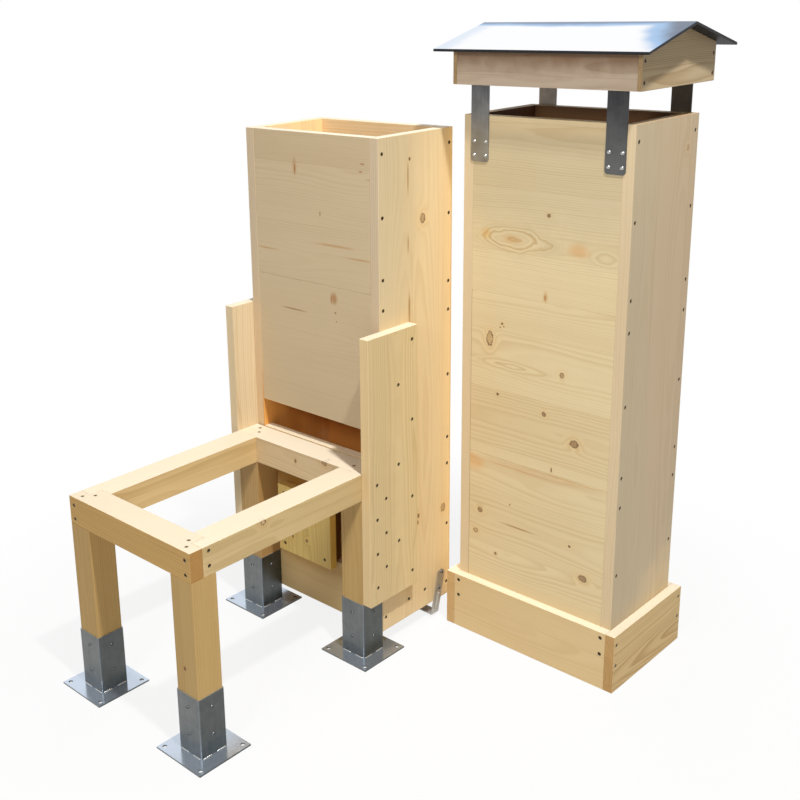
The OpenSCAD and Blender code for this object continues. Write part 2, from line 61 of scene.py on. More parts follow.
# Light: a lamp high on the right, a soft lamp in front, a weak one behind, a pale room, and a warm strip
# that stands in for the light between the two sections
AMBIENT = 0.26
KEY_AT = Vector((1.95, -0.75, 5.0))
KEY_SIZE = (0.22, 0.22)
KEY_WATTS = 226.0
FILL_AT = Vector((0.7, -2.8, 2.3))
FILL_SIZE = (0.6, 0.6)
FILL_WATTS = 35.0
BACK_AT = Vector((-2.2, 2.6, 2.4))
BACK_SIZE = (1.6, 1.6)
BACK_WATTS = 14.0
GLOW_AT = Vector((-0.012, 0.40, 0.72))
GLOW_AIM = Vector((-0.012, 0.0, 0.72))
GLOW_SIZE = (0.024, 1.35)
GLOW_WATTS = 1.0
GLOW_COLOUR = (1.0, 0.82, 0.5)
LIGHT_AIM = Vector((0.0, 0.0, 0.7))

# Floor: its glow near the part, the distances over which that rises to white, and the half width of the
# patch under each base plate that doesn't glow
FLOOR_SIDE = 30.0
FLOOR_COLOUR = (0.72, 0.72, 0.71, 1.0)
FLOOR_GLOW = 0.86
FLOOR_FADE = (0.7, 1.5)
PLATE_SHADE = 68 * MM

# Woods: the pale wood between the rings, the deep wood of the rings, the width of the glued strips in mm,
# and how strongly the rings show. Some kinds are lit and shaded copies of one pine, which paint the light and
# shade on those boards: lower_side, left_cheek and side_rail are painted lighter, and upper_side, gable,
# skirt_right, rear_leg, cross_rail and lower_foot painted darker or more shaded.
WOODS = {
    "lower_front": ((0.58, 0.45, 0.28), (0.41, 0.29, 0.155), 150, 0.22),
    "lower_foot": ((0.70, 0.495, 0.23), (0.50, 0.33, 0.135), 150, 0.22),
    "lower_back": ((0.58, 0.45, 0.28), (0.41, 0.29, 0.155), 140, 0.5),
    "lower_side": ((0.75, 0.585, 0.34), (0.56, 0.385, 0.19), 118, 0.3),
    "upper_front": ((0.735, 0.60, 0.36), (0.56, 0.395, 0.19), 150, 0.4),
    "upper_back": ((0.735, 0.60, 0.36), (0.56, 0.395, 0.19), 140, 0.5),
    "upper_side": ((0.56, 0.45, 0.29), (0.42, 0.31, 0.18), 140, 0.22),
    "cheek": ((0.61, 0.47, 0.253), (0.465, 0.315, 0.134), 94, 0.5),
    "left_cheek": ((0.76, 0.61, 0.39), (0.58, 0.41, 0.21), 94, 0.5),
    "cross_rail": ((0.54, 0.33, 0.107), (0.38, 0.21, 0.055), 90, 0.5),
    "rear_rail": ((0.70, 0.53, 0.31), (0.50, 0.34, 0.17), 90, 0.5),
    "side_rail": ((0.59, 0.44, 0.22), (0.42, 0.28, 0.11), 90, 0.5),
    "left_rail": ((0.70, 0.50, 0.24), (0.50, 0.32, 0.12), 90, 0.5),
    "leg": ((0.49, 0.32, 0.117), (0.36, 0.21, 0.058), 90, 0.5),
    "rear_leg": ((0.46, 0.29, 0.11), (0.33, 0.19, 0.055), 90, 0.5),
    "hatch": ((0.66, 0.47, 0.15), (0.46, 0.29, 0.073), 110, 0.5),
    "floor": ((0.66, 0.47, 0.15), (0.46, 0.29, 0.073), 120, 0.5),
    "skirt": ((0.69, 0.515, 0.27), (0.50, 0.325, 0.135), 170, 0.25),
    "skirt_left": ((0.69, 0.515, 0.27), (0.50, 0.325, 0.135), 75, 0.5),
    "skirt_right": ((0.65, 0.46, 0.21), (0.45, 0.28, 0.10), 75, 0.8),
    "roof": ((0.55, 0.41, 0.29), (0.41, 0.27, 0.17), 50, 0.5),
    "roof_front": ((0.64, 0.505, 0.375), (0.47, 0.34, 0.225), 50, 0.5),
    "gable": ((0.55, 0.42, 0.25), (0.38, 0.26, 0.13), 160, 0.8),
}

# Tints of knots, sawn ends, glue lines and stains
KNOT_DARK = (0.16, 0.075, 0.03)
KNOT_LIGHT = (0.60, 0.41, 0.20)
KNOT_RIM = (0.10, 0.045, 0.018, 1.0)
HALO_TINT = (1.0, 0.86, 0.66, 1.0)
END_BROWN = (0.78, 0.67, 0.55, 1.0)
END_MILD = (0.88, 0.78, 0.66, 1.0)
GLUE_TINT = (0.66, 0.53, 0.38, 1.0)
STAIN_PINK = (1.0, 0.80, 0.64, 1.0)
STAIN_ORANGE = (1.0, 0.82, 0.58, 1.0)
STAIN_BROWN = (0.86, 0.70, 0.54, 1.0)
STAIN_BAND = (0.92, 0.84, 0.80, 1.0)
STAIN_KNOT = (0.70, 0.47, 0.29, 1.0)
STAIN_STREAK = (0.60, 0.43, 0.28, 1.0)

# Tints of faces and places that stand in for the photograph's shade and light
# Painted shade on the inner faces of the upper section
INSIDE_SHADE = (0.37, 0.22, 0.145, 1.0)
# Painted warm shade with bounced light on the inner faces of the lower back boards, seen through the slot
INSIDE_WARM_SHADE = (1.35, 0.70, 0.24, 1.0)
# Painted light on the inner faces of the lower side panels and of the top lower back board
INSIDE_LIGHT = (1.45, 1.35, 1.2, 1.0)
LEG_SHADE = (0.95, 0.88, 0.83, 1.0)
EAVE_SHADE = (0.38, 0.26, 0.17, 1.0)
ROOF_SHADE = (0.84, 0.86, 0.90, 1.0)
ROOF_LIGHT = (1.3, 1.25, 1.22, 1.0)
RAIL_SHADE = (0.47, 0.28, 0.03, 1.0)
HATCH_SHADE = (0.70, 0.58, 0.38, 1.0)
SLOT_SHADE = (0.88, 0.55, 0.20, 1.0)
SIDE_COOL = (0.87, 0.93, 1.02, 1.0)
# Painted contact shadow on the lower side panels just behind the right cheek
SIDE_CONTACT_SHADE = (0.90, 0.83, 0.73, 1.0)
SIDE_ROSY = (1.03, 0.95, 0.94, 1.0)
# Painted light low on the upper side panels
SIDE_LIGHT = (1.3, 1.24, 1.1, 1.0)
FOOT_LIGHT = (1.24, 1.22, 1.16, 1.0)
# Painted light on the right cheek
CHEEK_LIGHT = (1.14, 1.15, 1.15, 1.0)
# Painted shade on the lower side panels' front edges, and painted light on the upper side panels' and right
# cheek's front edges
LOWER_EDGE_SHADE = (0.92, 0.88, 0.94, 1.0)
UPPER_EDGE_LIGHT = (1.22, 1.20, 1.17, 1.0)
CHEEK_EDGE_LIGHT = (1.19, 1.15, 1.13, 1.0)
# Painted shade on the hatch plug's faces that look along +X
PLUG_SIDE_SHADE = (0.40, 0.26, 0.18, 1.0)
# Painted light on the hatch board's faces that look along +X
HATCH_SIDE_LIGHT = (1.3, 1.2, 0.85, 1.0)
# Painted light that makes the faces that look up paler, on the boards and on the dark screws' heads
TOP_LIGHT = (0.90, 0.83, 0.68, 1.0)
TOP_LIGHT_SHARE = 0.65

# Knots: place along the face and height above the floor in mm, radius in mm, stretch along the grain, how
# pale the middle is and how dark the rim is
LOWER_FRONT_KNOTS = [
    (253, 1109, 6, 0.2, 0.0, 1.0), (297, 868, 2.5, 1.0, 0.3, 0.6), (300, 846, 1.6, 1.0, 0.2, 0.6),
]
LOWER_SIDE_KNOTS = [
    (161, 1095, 10, 1.3, 0.75, 0.8), (112, 1243, 3.5, 1.3, 0.0, 0.8), (246, 306, 10, 1.2, 0.7, 0.7),
    (144, 318, 4.5, 1.6, 0.25, 0.4), (141, 300, 3.5, 1.8, 0.25, 0.4),
]
UPPER_FRONT_KNOTS = [
    (238, 1123, 5, 1.0, 0.3, 1.0), (117, 847, 3.2, 1.0, 0.1, 0.8), (112, 837, 1.8, 1.0, 0.0, 0.8),
    (122, 840, 1.6, 1.2, 0.0, 0.8), (82, 803, 20, 0.5, 1.0, 0.8), (286, 753, 6.5, 1.0, 0.7, 1.0),
    (108, 666, 4, 0.9, 0.0, 1.0), (241, 646, 6, 1.0, 0.4, 1.0), (325, 592, 10, 1.2, 0.45, 0.7),
    (266, 510, 6.5, 0.3, 0.0, 0.8), (61, 342, 7, 1.1, 0.5, 0.8), (151, 383, 2, 1.0, 0.0, 0.8),
    (48, 281, 7, 1.0, 0.9, 0.7), (111, 236, 3.5, 1.0, 0.1, 0.8), (323, 328, 3.5, 1.1, 0.1, 0.9),
    (362, 256, 9, 1.35, 0.45, 0.9),
]
UPPER_SIDE_KNOTS = [(235, 1265, 6, 1.2, 0.9, 0.5)]
SIDE_RAIL_KNOTS = [(212, 500, 9, 1.0, 1.0, 1.0)]
REAR_RAIL_KNOTS = [(215, 478, 6, 0.7, 0.3, 0.9), (318, 500, 7, 1.4, 0.7, 0.7)]
LEG_KNOTS = [(30, 215, 4, 1.3, 0.0, 1.0)]

# The hatch's knots have their height above its lower edge
HATCH_KNOTS = [(52, 51, 4, 1.1, 0.4, 0.8), (104, 55, 5, 1.1, 0.3, 0.8)]

# Where marks lie in a board's thickness: their middle, from its low face, and their half size. THROUGH goes
# right through any board, and INNER_SKIN is the half size of the painted shade on the panels' inner faces.
THROUGH = (0.0, 1.0)
SIDE_RAIL_DEPTH = (66 * MM, 9 * MM)
REAR_RAIL_DEPTH = (0.0, 30 * MM)
LEG_DEPTH = (0.0, 20 * MM)
INNER_SKIN = 4 * MM
NO_MARKS = {"knots": (), "figures": (), "stains_and_shading": ()}

# Figures in the grain: place and height, half length and half height in mm, and how many rings wide
UPPER_FRONT_FIGURES = [(143, 1056, 110, 36, 4.3), (385, 1044, 42, 21, 1.6), (150, 745, 100, 15, 1.9)]

# Stains, and painted shade and light: place and height, half length and half height in mm, and the tint
# Real stains, with painted shade high on the boards, painted light along their top edge and painted light at
# their foot
UPPER_FRONT_STAINS_AND_LIGHT = [
    (317, 1052, 34, 20, STAIN_PINK), (66, 1062, 18, 17, STAIN_ORANGE), (140, 1056, 34, 13, STAIN_BROWN),
    (40, 470, 40, 26, STAIN_PINK), (175, 327, 60, 3, STAIN_STREAK), (235, 932, 8, 17, STAIN_BROWN),
    (234, 930, 4, 9, STAIN_KNOT), (220, 1210, 900, 190, ROOF_SHADE), (220, 1337, 900, 50, ROOF_LIGHT),
    (220, 80, 900, 45, FOOT_LIGHT), (235, 486, 230, 12, STAIN_BAND), (310, 495, 130, 2, STAIN_BROWN),
    (165, 482, 120, 1.5, STAIN_BROWN),
]
# Real stains, with painted shade under the rear rail and under the hatch
LOWER_FRONT_STAINS_AND_SHADE = [
    (155, 853, 55, 3, STAIN_STREAK), (170, 1217, 8, 28, STAIN_BROWN), (171, 1211, 3, 14, STAIN_KNOT),
    (60, 1000, 50, 3, STAIN_BROWN), (294, 904, 12, 18, STAIN_KNOT), (284, 902, 3, 16, STAIN_KNOT),
    (392, 1240, 9, 3, STAIN_KNOT), (386, 1222, 8, 3, STAIN_KNOT), (413, 1205, 13, 1.5, STAIN_STREAK),
    (300, 1035, 80, 4, STAIN_BROWN), (380, 1012, 60, 3, STAIN_BROWN), (220, 385, 320, 60, RAIL_SHADE),
    (195, 163, 190, 36, HATCH_SHADE),
]
# Real streaks, a cooler tint high at the front, and a painted contact shadow behind the right cheek
LOWER_SIDE_STAINS_AND_SHADE = [
    (106, 1195, 3, 50, STAIN_STREAK), (106, 1040, 3, 30, STAIN_STREAK), (110, 880, 4, 50, STAIN_STREAK),
    (20, 1150, 140, 420, SIDE_COOL), (112, 480, 34, 400, SIDE_CONTACT_SHADE),
]
# Painted shade on the side panels' inner faces around the slot
SLOT_SHADE_MARKS = [(138, 510, 600, 200, SLOT_SHADE)]
# A rosy tint, with painted light low on the panels and at their foot
UPPER_SIDE_ROSE_AND_LIGHT = [
    (200, 900, 130, 800, SIDE_ROSY), (260, 150, 170, 140, SIDE_LIGHT), (138, 80, 500, 60, FOOT_LIGHT),
]
# Painted light on the right cheek
CHEEK_PAINTED_LIGHT = [(180, 500, 120, 900, CHEEK_LIGHT)]

# The eave's shade in mm: its middle along the face and below the board's top, half length and half height
EAVE_MIDDLE = 220
EAVE_DOWN = 1
EAVE_LONG = 900
EAVE_TALL = 63

# Boards without marks: nodes, the axes along and across the grain, the wood, and what else it takes. Each
# tint in the face list is a painted light or shade and belongs to the faces that look along its axis in its
# direction, and the top flag paints light on the faces that look up.
PLAIN_BOARDS = [
    (["front_rail"], "X", "Z", "cross_rail", {"end_tint": END_BROWN, "pale_top": True}),
    (["left_rail"], "Y", "Z", "left_rail", {"pale_top": True}),
    (["leg_front_left", "leg_rear_right"], "Z", "X", "leg", {}),
    (["leg_rear_left"], "Z", "X", "rear_leg", {"tints": [("X", 1.0, LEG_SHADE)]}),
    (["left_cheek"], "Z", "Y", "left_cheek", {"pale_top": True}),
    (["lower_floor"], "X", "Y", "floor", {}),
    (["hatch_plug"], "Z", "X", "hatch", {"tints": [("X", 1.0, PLUG_SIDE_SHADE)]}),
    (["lower_back_board_bottom", "lower_back_board_middle"], "X", "Z", "lower_back",
     {"tints": [("Y", -1.0, INSIDE_WARM_SHADE)]}),
    (["lower_back_board_top"], "X", "Z", "lower_back",
     {"tints": [("Y", -1.0, INSIDE_LIGHT)], "pale_top": True}),
    (["upper_back_board_" + height for height in HEIGHTS], "X", "Z", "upper_back",
     {"tints": [("Y", -1.0, INSIDE_SHADE)]}),
    (["skirt_front", "skirt_back"], "X", "Z", "skirt", {"pale_top": True}),
    (["skirt_left"], "Y", "Z", "skirt_left", {"pale_top": True}),
    (["skirt_right"], "Y", "Z", "skirt_right", {"end_tint": END_BROWN, "pale_top": True}),
    (["roof_back_board"], "X", "Z", "roof", {}),
    (["left_gable", "right_gable"], "Y", "Z", "gable", {}),
]

# How far a face turns to an axis before its tint starts, and where the tint is full
FACING = (0.5, 0.9)
END_FACING = (0.6, 0.9)

# Pine: how far chance moves boards, strips and rings apart
SEED_COUNT = 97
SEED_SHIFT = 31.7
SEED_STRIPS = 7.31
STRIP_STEP = 1.37
STRIP_SHIFT = 9.0
RING_STEP = 0.73

# Pine: the pith lies beside a strip's middle by a share of its width, and at a depth. A ring darkens slowly
# and ends sharply.
PITH_SPREAD = 1.4
PITH_DEPTH = 25 * MM
PITH_RANGE = 90 * MM
RING_WIDTH = 4.4 * MM
RING_RISE = (0.2, 0.86)
RING_FALL = (0.88, 1.0, 1.0, 0.0)
RING_FAINT = 0.25
FIGURE_BOOST = 1.3

# Streaky noise: its scales along three axes, detail and roughness
SLOW_NOISE = ((1.5, 6.0, 6.0), 1.5, 0.5)
QUICK_NOISE = ((7.0, 40.0, 40.0), 1.0, 0.5)
FIBRE_NOISE = ((12.0, 620.0, 620.0), 3.0, 0.6)
BLOTCH_NOISE = ((1.6, 6.0, 6.0), 3.0, 0.5)
ZINC_STREAKS = ((120.0, 120.0, 5.0), 3.0, 0.5)
STEEL_LINES = ((900.0, 900.0, 14.0), 2.0, 0.5)
SHEET_LINES = ((4.0, 500.0, 500.0), 2.0, 0.5)

# Even noise: its scale, detail and roughness
WOBBLE_NOISE = (130.0, 3.0, 0.5)
SWAY_NOISE = (24.0, 2.0, 0.5)
BREAK_NOISE = (75.0, 2.0, 0.5)
CRACK_NOISE = (320.0, 3.0, 0.5)
ZINC_CLOUD = (14.0, 4.0, 0.55)
STEEL_CLOUD = (30.0, 3.0, 0.5)
SHEET_CLOUD = (7.0, 3.0, 0.5)
TARNISH_NOISE = (700.0, 3.0, 0.5)

# Pine: how far noise bends the rings, and what fibres, blotches and strips add to the deep colour, as a
# factor and an offset or as a spread
SLOW_BEND = 34 * MM
QUICK_BEND = 3 * MM
FIBRE_SHARE = (0.42, -0.10)
BLOTCH_SHARE = (0.55, -0.27)
BLOTCH_SHIFT = 4.0
STRIP_SPREAD = 0.30
GLUE_HALF = 0.9 * MM
GLUE_SHARE = 0.4
FIBRE_HEIGHT = 0.7
RING_HEIGHT = 0.3
WOOD_ROUGH = (0.2, 0.5)
WOOD_SPECULAR = 0.35

# Marks in the pine, by the distance from their middle in half sizes. Four numbers are where a change starts
# and ends, and the values there.
ROUND_SHAPE = 2.0
FIGURE_SHAPE = 1.6
WOBBLE = 0.7
SWAY = 0.5
FIGURE_EDGE = (0.9, 1.25, 1.0, 0.0)
STAIN_EDGE = (0.25, 1.2, 0.9, 0.0)
PUSH_FALL = 0.33
HALO_FALL = 0.25
HALO_SHARE = 0.5
KNOT_EDGE = (0.8, 1.12, 0.92, 0.0)
KNOT_TURNS = 17.0
TURN_SHARE = 0.26
RIM_RISE = (0.4, 0.92)
RIM_BREAKS = (0.38, 0.6, 0.6, 1.0)
CRACK_SHARE = (2.6, -1.25)

# Zinc of the post bases
ZINC_DARK = (0.11, 0.118, 0.116, 1.0)
ZINC_LIGHT = (0.27, 0.285, 0.28, 1.0)
PLATE_LIGHT = (0.60, 0.68, 0.80, 1.0)
PLATE_DULL = 0.15
SLEEVE_SHADE = (0.62, 0.63, 0.62, 1.0)
SPANGLE_SCALE = 95.0
SPANGLE_SHARE = 0.14
ZINC_CLOUD_SHARE = (0.7, -0.1)
ZINC_STREAK_SHARE = (0.3, -0.12)
CORNER_LIGHT = (0.1, 0.4, 0.0, 0.12)
ZINC_ROUGH = 0.26
ZINC_ROUGH_CLOUD = 0.2
ZINC_ROUGH_SPANGLE = 0.05
PLATE_POLISH = 0.2

# Steel strip of the straps and foot brackets: the dark and light tones, which differ from strap to strap to
# paint the light, shade and reflections on each, and how far from a strap's ends its fade of painted shade
# runs
STEEL_LIT_AND_SHADED_TONES = {
    "front_left": ((0.10, 0.10, 0.105, 1.0), (0.45, 0.45, 0.44, 1.0)),
    "front_right": ((0.045, 0.045, 0.048, 1.0), (0.165, 0.165, 0.16, 1.0)),
    "back_left": ((0.15, 0.132, 0.115, 1.0), (0.60, 0.54, 0.47, 1.0)),
    "back_right": ((0.062, 0.050, 0.037, 1.0), (0.22, 0.18, 0.135, 1.0)),
    "bracket": ((0.36, 0.31, 0.23, 1.0), (0.50, 0.50, 0.48, 1.0)),
}
BRACKET_METALLIC = 0.35
STRAP_FADE = (30 * MM, 80 * MM)
SHADE_FADE_SHARE = 0.6
STEEL_CLOUD_SHARE = (0.5, -0.2)
LINE_SPREAD = 0.3
STEEL_ROUGH = (0.25, 0.22)

# Roof sheet: where the painted reflection of the sky's blue shows, in shares of its length from the left and
# of the climb to the ridge
SHEET_BRIGHT = (0.98, 0.985, 1.0, 1.0)
SHEET_SKY_REFLECTION = (0.28, 0.50, 0.82, 1.0)
SHEET_BLUE_REFLECTION = (0.045, 0.09, 0.18, 1.0)
SHEET_CORE = (0.012, 0.012, 0.014, 1.0)
SHEET_UNREST = 0.16
RIGHT_LEAN = 0.21
RIGHT_CAST = (0.93, 1.13)
RIDGE_CAST = (0.78, 0.97, 0.0, 0.85)
LEFT_CAST = (0.02, 0.12, 0.2, 0.0)
SKY_RISE = (0.0, 0.5)
BLUE_RISE = (0.5, 1.0)
CORE_ROUGH = 0.46
SKIN_POLISH = 0.4
SHEET_ROUGH_CLOUD = 0.1
LINE_HEIGHT = 0.1
SHEET_SPECULAR = 0.2

# Screws and welds: colours and roughness
SCREW_DARK = (0.10, 0.075, 0.045, 1.0)
# Painted light on the dark screws' faces that look up
SCREW_TOP_LIGHT = (0.52, 0.42, 0.28, 1.0)
SCREW_DULL = (0.16, 0.165, 0.17, 1.0)
SCREW_BRIGHT = (0.62, 0.62, 0.60, 1.0)
DARK_ROUGH = 0.35
DULL_ROUGH = 0.35
BRIGHT_ROUGH = 0.22
WELD_ROUGH = 0.2
TARNISH_TONE = 0.6
TARNISH_ROUGH = 0.25

# Bumps: strength and height
WOOD_BUMP = (0.25, 0.4 * MM)
ZINC_BUMP = (0.05, 0.3 * MM)
STEEL_BUMP = (0.06, 0.2 * MM)
SHEET_BUMP = (0.05, 1.0 * MM)
SCREW_BUMP = (0.1, 0.1 * MM)

# Softened edges
WOOD_EDGE = 1.2 * MM
SHEET_EDGE = 1.0 * MM
EDGE_SEGMENTS = 2
SHARP = math.cos(math.radians(25))
SHORT_EDGE = 4.0 * MM
WELD_DISTANCE = 0.01 * MM
SAME_SPOT_DIGITS = 6

# Weld beads at the sleeves' feet
SLEEVE_OUT = 2.5 * MM
PLATE_TOP = 4.0 * MM
BEAD_LENGTH = 26 * MM
BEAD_INSET = 4.0 * MM
BEAD_RADIUS = 2.0 * MM
BEAD_RIPPLE = 5.0 * MM
BEAD_RIPPLE_DEPTH = 0.28
BEAD_SINK = 0.4 * MM
BEAD_BLUNT = 0.98
BEAD_END_POWER = 8
BEAD_STEPS = 40
BEAD_SIDES = 6

# A mix node's sockets share their names, so its factor, two colours and result are found by number
MIX_INPUTS = (0, 6, 7)
MIX_RESULT = 2


class Tree:
    """Adds nodes to a node tree and links them. An input is a socket or a plain value."""

    def __init__(self, tree):
        self.tree = tree
        tree.nodes.clear()

    def put(self, socket, value):
        if isinstance(value, bpy.types.NodeSocket):
            self.tree.links.new(value, socket)
        else:
            socket.default_value = value

    def node(self, kind, inputs=None, **settings):
        made = self.tree.nodes.new(kind)
        for key, value in settings.items():
            setattr(made, key, value)
        for key, value in (inputs or {}).items():
            self.put(made.inputs[key], value)
        return made

    def group(self, node_tree, inputs):
        made = self.node("ShaderNodeGroup", node_tree=node_tree)
        for key, value in inputs.items():
            self.put(made.inputs[key], value)
        return made.outputs

    def math(self, operation, *values):
        made = self.node("ShaderNodeMath", operation=operation)
        for socket, value in zip(made.inputs, values):
            self.put(socket, value)
        return made.outputs[0]

    def times(self, value, factor, plus=0.0):
        return self.math("MULTIPLY_ADD", value, factor, plus)

    def spread(self, value, width):
        """A value between 0 and 1, moved to lie around 0 over this width."""
        return self.times(value, width, -width / 2)

    def total(self, *values):
        result = values[0]
        for value in values[1:]:
            result = self.math("ADD", result, value)
        return result

    def clamp(self, value):
        return self.math("MINIMUM", self.math("MAXIMUM", value, 0.0), 1.0)

    def bell(self, distance, fall):
        """1 at no distance, falling to 0 in a bell curve."""
        return self.math("EXPONENT", self.times(self.math("POWER", distance, 2.0), -fall))

    def join(self, x, y, z):
        return self.node("ShaderNodeCombineXYZ", {"X": x, "Y": y, "Z": z}).outputs[0]

    def split(self, vector):
        return self.node("ShaderNodeSeparateXYZ", {"Vector": vector}).outputs

    def vectors(self, operation, first, second):
        return self.node("ShaderNodeVectorMath", {0: first, 1: second}, operation=operation).outputs[0]

    def length(self, vector):
        return self.node("ShaderNodeVectorMath", {0: vector}, operation="LENGTH").outputs["Value"]

    def smooth(self, value, low, high, start=0.0, end=1.0):
        """Goes smoothly from start to end while the value goes from low to high."""
        inputs = {"Value": value, "From Min": low, "From Max": high, "To Min": start, "To Max": end}
        return self.node("ShaderNodeMapRange", inputs, interpolation_type="SMOOTHSTEP").outputs[0]

    def noise(self, vector, scale, detail, roughness):
        inputs = {"Vector": vector, "Scale": scale, "Detail": detail, "Roughness": roughness}
        return self.node("ShaderNodeTexNoise", inputs).outputs["Fac"]

    def streaks(self, parts, recipe, shift=0.0):
        """Streaky noise by its recipe, over the three parts of a place, moved by shift along the first."""
        scales, detail, roughness = recipe
        scaled = [self.math("MULTIPLY", part, scale) for part, scale in zip(parts, scales)]
        place = self.join(self.math("ADD", scaled[0], shift), scaled[1], scaled[2])
        return self.noise(place, 1.0, detail, roughness)

    def dice(self, seed):
        return self.node("ShaderNodeTexWhiteNoise", {"W": seed}, noise_dimensions="1D").outputs

    def mix(self, factor, first, second, blend="MIX"):
        made = self.node("ShaderNodeMix", data_type="RGBA", blend_type=blend)
        for index, value in zip(MIX_INPUTS, (factor, first, second)):
            self.put(made.inputs[index], value)
        return made.outputs[MIX_RESULT]


def make_group(name, inputs, outputs):
    """An empty node group with these sockets, and its tree helper, input sockets and output node."""
    group = bpy.data.node_groups.new(name, "ShaderNodeTree")
    for direction, sockets in (("INPUT", inputs), ("OUTPUT", outputs)):
        for key, kind in sockets.items():
            group.interface.new_socket(name=key, in_out=direction, socket_type="NodeSocket" + kind)
    tree = Tree(group)
    return group, tree, tree.node("NodeGroupInput").outputs, tree.node("NodeGroupOutput")


def make_pine():
    """Pine as rings round a pith that runs along the grain, in glued strips, with fine fibres."""
    inputs = {
        "Grain": "Vector", "Seed": "Float", "Strip": "Float", "Pale": "Color", "Deep": "Color",
        "Push": "Float", "Figure": "Float", "Figure Share": "Float", "Contrast": "Float",
    }
    group, t, given, out = make_group("pine", inputs, {"Color": "Color", "Height": "Float"})
    along, across, depth = t.split(given["Grain"])
    parts = (along, across, depth)
    seed_shift = t.times(given["Seed"], SEED_SHIFT)

    strip_at = t.math("ADD", t.math("DIVIDE", across, given["Strip"]), t.times(given["Seed"], SEED_STRIPS))
    in_strip = t.math("FRACT", strip_at)
    strip_seed = t.times(t.math("FLOOR", strip_at), STRIP_STEP, seed_shift)
    chance = t.split(t.dice(strip_seed)["Color"])

    side = t.math("MULTIPLY", t.spread(in_strip, 1.0), given["Strip"])
    pith_side = t.math("MULTIPLY", t.spread(chance[0], PITH_SPREAD), given["Strip"])
    pith_depth = t.times(chance[1], PITH_RANGE, PITH_DEPTH)
    radius = t.length(t.join(t.math("SUBTRACT", side, pith_side), t.math("ADD", depth, pith_depth), 0.0))

    shift = t.times(chance[2], STRIP_SHIFT, seed_shift)
    slow = t.spread(t.streaks(parts, SLOW_NOISE, shift), SLOW_BEND)
    quick = t.spread(t.streaks(parts, QUICK_NOISE, shift), QUICK_BEND)
    ring_at = t.total(radius, slow, quick, given["Push"])
    plain = t.math("SUBTRACT", 1.0, given["Figure Share"])
    ring = t.times(t.math("DIVIDE", ring_at, RING_WIDTH), plain, given["Figure"])
    in_ring = t.math("FRACT", ring)
    ring_chance = t.dice(t.times(t.math("FLOOR", ring), RING_STEP, strip_seed))["Value"]
    strength = t.times(ring_chance, 1.0 - RING_FAINT, RING_FAINT)
    late = t.math("MULTIPLY", t.smooth(in_ring, *RING_RISE), t.smooth(in_ring, *RING_FALL))
    boost = t.times(given["Figure Share"], FIGURE_BOOST, 1.0)
    grain = t.math("MULTIPLY", t.math("MULTIPLY", late, strength), boost)

    fibre = t.streaks(parts, FIBRE_NOISE, shift)
    blotch = t.streaks(parts, BLOTCH_NOISE, t.math("ADD", shift, BLOTCH_SHIFT))
    share = t.total(
        t.math("MULTIPLY", grain, given["Contrast"]), t.times(fibre, *FIBRE_SHARE),
        t.times(blotch, *BLOTCH_SHARE), t.spread(chance[2], STRIP_SPREAD),
    )
    colour = t.mix(t.clamp(share), given["Pale"], given["Deep"])
    to_edge = t.math("MINIMUM", in_strip, t.math("SUBTRACT", 1.0, in_strip))
    glue = t.smooth(t.math("MULTIPLY", to_edge, given["Strip"]), 0.0, GLUE_HALF, GLUE_SHARE, 0.0)
    t.put(out.inputs["Color"], t.mix(glue, colour, GLUE_TINT, "MULTIPLY"))
    t.put(out.inputs["Height"], t.times(fibre, FIBRE_HEIGHT, t.times(late, RING_HEIGHT)))
    return group


def make_spot():
    """The distance from the middle of a knot, figure or stain, in its own half sizes."""
    inputs = {"Place": "Vector", "Middle": "Vector", "Half": "Vector", "Shape": "Float", "Wobble": "Float"}
    group, t, given, out = make_group("spot", inputs, {"Distance": "Float"})
    offset = t.vectors("SUBTRACT", given["Place"], given["Middle"])
    scaled = t.split(t.vectors("DIVIDE", offset, given["Half"]))
    powers = [t.math("POWER", t.math("ABSOLUTE", part), given["Shape"]) for part in scaled]
    distance = t.math("POWER", t.total(*powers), t.math("DIVIDE", 1.0, given["Shape"]))
    t.put(out.inputs["Distance"], t.math("MAXIMUM", t.math("ADD", distance, given["Wobble"]), 0.0))
    return group


PINE = make_pine()
SPOT = make_spot()


def new_material(name):
    material = bpy.data.materials.new(name)
    material.use_nodes = True
    return material, Tree(material.node_tree)


def surface(t, colour, roughness, height, bump, metallic=0.0, specular=0.5):
    """The shader at the end of a material, with its bump."""
    strength, distance = bump
    normal = t.node("ShaderNodeBump", {"Height": height, "Strength": strength, "Distance": distance})
    inputs = {
        "Base Color": colour, "Roughness": roughness, "Normal": normal.outputs[0], "Metallic": metallic,
        "Specular IOR Level": specular,
    }
    shader = t.node("ShaderNodeBsdfPrincipled", inputs)
    t.tree.links.new(shader.outputs[0], t.node("ShaderNodeOutputMaterial").inputs["Surface"])


def with_knots(t, colour, knots, place):
    """The colour with knots drawn over it: a faint halo, turns round a core, fine cracks and a broken rim."""
    broken = t.smooth(t.noise(place, *BREAK_NOISE), *RIM_BREAKS)
    cracks = t.times(t.noise(place, *CRACK_NOISE), *CRACK_SHARE)
    for distance, _, pale_middle, rim_dark in knots:
        halo = t.times(t.bell(distance, HALO_FALL), HALO_SHARE)
        colour = t.mix(halo, colour, HALO_TINT, "MULTIPLY")
        core = [dark + (light - dark) * pale_middle for dark, light in zip(KNOT_DARK, KNOT_LIGHT)]
        turns = t.times(t.math("SINE", t.times(distance, KNOT_TURNS)), TURN_SHARE)
        rim = t.math("MULTIPLY", t.smooth(distance, *RIM_RISE, 0.0, rim_dark), broken)
        inner = t.mix(t.clamp(t.total(rim, turns, cracks)), (*core, 1.0), KNOT_RIM)
        colour = t.mix(t.smooth(distance, *KNOT_EDGE), colour, inner)
    return colour


